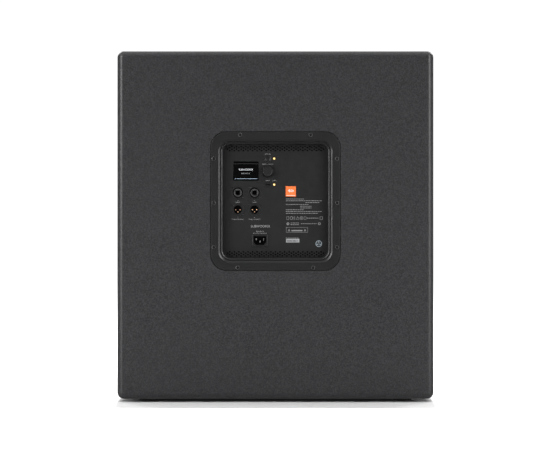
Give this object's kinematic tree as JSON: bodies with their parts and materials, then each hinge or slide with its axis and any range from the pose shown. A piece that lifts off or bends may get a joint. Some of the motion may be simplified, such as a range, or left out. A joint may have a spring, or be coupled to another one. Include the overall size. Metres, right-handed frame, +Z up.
{
  "type": "powered subwoofer",
  "caption": "Box-shaped powered subwoofer for live sound, with a recessed rear control panel, display, menu knob, audio sockets and mains inlet.",
  "frame": {"origin": "middle of the bottom, in the plane of the feet", "axes": "+Z up, +Y towards the rear control panel, -Y towards the grille, +X to the left of someone looking at the control panel"},
  "size_m": [0.602, 0.64, 0.668],
  "materials": {
    "coated_wood": "textured black protective coating over plywood",
    "bare_wood": "bare plywood",
    "black_steel": "black powder coat",
    "cast_aluminium": "cast, coated black",
    "foam": "open-cell acoustic foam",
    "rubber": "matt black rubber",
    "black_plastic": "fine-textured black moulding",
    "panel_paint": "satin black powder-coated sheet",
    "paper_cone": "coated paper",
    "treated_cloth": "resin-treated cloth",
    "ferrite": "sintered, dark grey",
    "bare_steel": "zinc-plated",
    "aluminium": "extruded",
    "circuit_board": "green solder mask",
    "screen_glass": "gloss display window",
    "amber_lens": "clear amber lens",
    "cable_jacket": "black jacket"
  },
  "bodies": {
    "cabinet": {"amp_bezel": "black_plastic", "amp_panel": "panel_paint", "amp_tub": "black_plastic", "amplifier_board": "circuit_board", "back_panel": "coated_wood", "bezel_screw_01": "black_steel", "bezel_screw_02": "black_steel", "bezel_screw_03": "black_steel", "bezel_screw_04": "black_steel", "bezel_screw_05": "black_steel", "bezel_screw_06": "black_steel", "bezel_screw_07": "black_steel", "bezel_screw_08": "black_steel", "bezel_screw_09": "black_steel", "bezel_screw_10": "black_steel", "bottom_panel": "coated_wood", "combo_input_a": "black_plastic", "combo_input_b": "black_plastic", "control_board": "circuit_board", "cross_brace": "bare_wood", "data_port": "black_plastic", "display_module": "black_plastic", "display_window": "screen_glass", "driver_basket": "cast_aluminium", "ferrite_magnet": "ferrite", "foot_front_left": "rubber", "foot_front_right": "rubber", "foot_rear_left": "rubber", "foot_rear_right": "rubber", "front_baffle": "coated_wood", "grille": "black_steel", "grille_foam": "foam", "handle_left": "black_plastic", "handle_right": "black_plastic", "heat_sink": "aluminium", "left_side_panel": "coated_wood", "limit_led": "amber_lens", "mains_inlet": "black_plastic", "menu_encoder": "bare_steel", "pole_socket": "black_steel", "pole_yoke": "bare_steel", "port_rib": "coated_wood", "port_shelf": "coated_wood", "power_led": "amber_lens", "power_supply_board": "circuit_board", "right_side_panel": "coated_wood", "speaker_cable": "cable_jacket", "spider": "treated_cloth", "surround": "rubber", "switching_transformer": "ferrite", "thru_output_a": "black_plastic", "thru_output_b": "black_plastic", "top_panel": "coated_wood", "top_plate": "bare_steel"},
    "power_button": {"power_button": "black_plastic"},
    "menu_plunger": {"menu_plunger": "bare_steel"},
    "menu_knob": {"menu_knob": "black_plastic"},
    "cone_assembly": {"cone": "paper_cone", "dust_cap": "paper_cone", "voice_coil": "treated_cloth"}
  },
  "joints": [
    {"name": "power_button_press", "type": "slide", "parent": "cabinet", "child": "power_button", "axis": [0, -1, 0], "range_m": [0, 0.0015], "stiffness_N_per_m": 300, "springref_m": -0.0005},
    {"name": "menu_push", "type": "slide", "parent": "cabinet", "child": "menu_plunger", "axis": [0, -1, 0], "range_m": [0, 0.0005], "stiffness_N_per_m": 800, "springref_m": -0.0003},
    {"name": "menu_turn", "type": "hinge", "parent": "menu_plunger", "child": "menu_knob", "pos_m": [0.0146, 0.298, 0.4391], "axis": [0, 1, 0], "continuous": true},
    {"name": "cone_excursion", "type": "slide", "parent": "cabinet", "child": "cone_assembly", "axis": [0, -1, 0], "range_m": [-0.008, 0.008], "stiffness_N_per_m": 10000, "deforming": ["surround", "spider"]}
  ]
}
